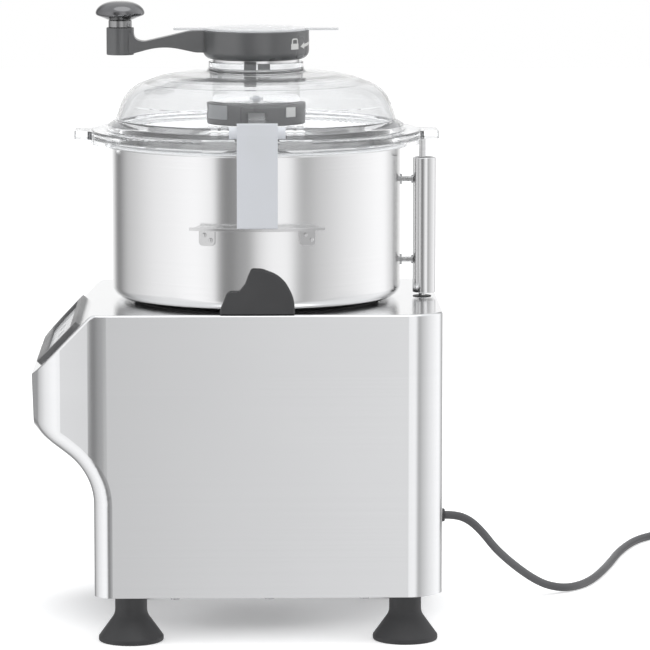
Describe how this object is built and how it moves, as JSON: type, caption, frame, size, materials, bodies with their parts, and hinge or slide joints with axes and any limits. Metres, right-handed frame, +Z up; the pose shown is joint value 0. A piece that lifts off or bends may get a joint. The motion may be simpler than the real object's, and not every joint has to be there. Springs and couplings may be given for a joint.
{
  "type": "bowl cutter",
  "caption": "Bench-top bowl cutter: steel case with a sloping keypad, lift-off bowl with sickle knives, clear latched lid and a hand crank that turns the scraper.",
  "frame": {"origin": "on the floor, in the middle of the machine's length and width (without the cord)", "axes": "+Z up, along the bowl's axis; +X from the keypad nose towards the cord side; +Y away from the side with the bowl stop"},
  "size_m": [0.6907, 0.5854, 0.5391],
  "materials": {
    "brushed_case": "brushed",
    "satin_bowl": "satin",
    "steel_blade": "ground",
    "bright_steel": "polished",
    "zinc_steel": "zinc plated",
    "cast_motor": "painted casting",
    "black_rubber": "matte",
    "dark_plastic": "fine texture",
    "grey_plastic": "fine texture",
    "gloss_black": "gloss",
    "keypad_grey": "satin film",
    "clear_plastic": "clear",
    "latch_plastic": "translucent satin",
    "green_board": "solder mask",
    "cord_rubber": "matte",
    "white_plastic": "satin",
    "brass_pin": "satin"
  },
  "bodies": {
    "base": {"housing_shell": "brushed_case", "base_plate": "brushed_case", "base_screws": "zinc_steel", "foot_front_near": "black_rubber", "foot_front_far": "black_rubber", "foot_rear_near": "black_rubber", "foot_rear_far": "black_rubber", "foot_studs": "zinc_steel", "motor_case": "cast_motor", "motor_plate": "zinc_steel", "motor_bolts": "zinc_steel", "shaft_bearing": "bright_steel", "shaft_seal": "black_rubber", "bowl_seat": "dark_plastic", "seat_screws": "zinc_steel", "control_bezel": "dark_plastic", "keypad_panel": "keypad_grey", "control_board": "green_board", "board_spacers": "white_plastic", "bowl_lock_block": "dark_plastic", "run_capacitor": "white_plastic", "plunger_guide": "dark_plastic", "interlock_switch": "dark_plastic", "switch_bracket": "zinc_steel", "cable_gland": "dark_plastic", "power_cord": "cord_rubber", "cord_coil": "cord_rubber", "cord_tail": "cord_rubber", "plug_body": "cord_rubber", "plug_pins": "brass_pin"},
    "drive": {"drive_shaft": "bright_steel", "cooling_fan": "dark_plastic"},
    "plunger": {"interlock_plunger": "bright_steel"},
    "bowl": {"bowl_shell": "satin_bowl", "handle_tube": "satin_bowl", "handle_bushes": "dark_plastic", "handle_bolts": "zinc_steel", "catch_shelf_near": "satin_bowl", "catch_shelf_far": "satin_bowl", "catch_rivets": "zinc_steel"},
    "rod": {"interlock_rod": "bright_steel"},
    "bush": {"knife_bush": "white_plastic"},
    "knife": {"knife_hub": "grey_plastic", "knife_blade_lower": "steel_blade", "knife_blade_upper": "steel_blade", "hub_cap": "dark_plastic"},
    "lid": {"lid_dome": "clear_plastic", "lid_seal": "black_rubber", "latch_pins": "bright_steel"},
    "latch_near": {"latch_near": "latch_plastic"},
    "latch_far": {"latch_far": "latch_plastic"},
    "crank": {"crank_arm": "grey_plastic", "scraper_carrier": "dark_plastic", "scraper_arm_near": "grey_plastic", "scraper_arm_far": "grey_plastic", "wipers": "white_plastic", "knob_axle": "bright_steel"},
    "knob": {"crank_knob": "gloss_black"},
    "cap": {"feed_cap": "clear_plastic"}
  },
  "joints": [
    {"name": "drive_spin", "type": "hinge", "parent": "base", "child": "drive", "pos_m": [0.0134, 0, 0.2], "axis": [0, 0, 1], "continuous": true},
    {"name": "plunger_slide", "type": "slide", "parent": "base", "child": "plunger", "axis": [0, 0, 1], "range_m": [-0.0025, 0]},
    {"name": "bowl_lift", "type": "slide", "parent": "base", "child": "bowl", "axis": [0, 0, 1], "range_m": [0, 0.1]},
    {"name": "rod_slide", "type": "slide", "parent": "bowl", "child": "rod", "axis": [0, 0, 1], "range_m": [-0.0025, 0], "stiffness_N_per_m": 1500, "springref_m": 0.003},
    {"name": "knife_lift", "type": "slide", "parent": "bowl", "child": "bush", "axis": [0, 0, 1], "range_m": [0, 0.045]},
    {"name": "knife_spin", "type": "hinge", "parent": "bush", "child": "knife", "pos_m": [0.0134, 0, 0.3], "axis": [0, 0, 1], "continuous": true},
    {"name": "lid_lift", "type": "slide", "parent": "bowl", "child": "lid", "axis": [0, 0, 1], "range_m": [0, 0.12]},
    {"name": "latch_near_swing", "type": "hinge", "parent": "lid", "child": "latch_near", "pos_m": [0.0134, -0.1445, 0.4368], "axis": [-1, 0, 0], "range_deg": [0, 120]},
    {"name": "latch_far_swing", "type": "hinge", "parent": "lid", "child": "latch_far", "pos_m": [0.0134, 0.1445, 0.4368], "axis": [1, 0, 0], "range_deg": [0, 120]},
    {"name": "crank_spin", "type": "hinge", "parent": "lid", "child": "crank", "pos_m": [0.0134, 0, 0.48], "axis": [0, 0, 1], "continuous": true},
    {"name": "knob_spin", "type": "hinge", "parent": "crank", "child": "knob", "pos_m": [-0.1035, 0, 0.53], "axis": [0, 0, 1], "continuous": true},
    {"name": "cap_lift", "type": "slide", "parent": "crank", "child": "cap", "axis": [0, 0, 1], "range_m": [0, 0.05]}
  ],
  "couplings": [
    {"joint": "knife_spin", "follows": "drive_spin", "ratio": 1},
    {"joint": "plunger_slide", "follows": "rod_slide", "ratio": 1}
  ]
}
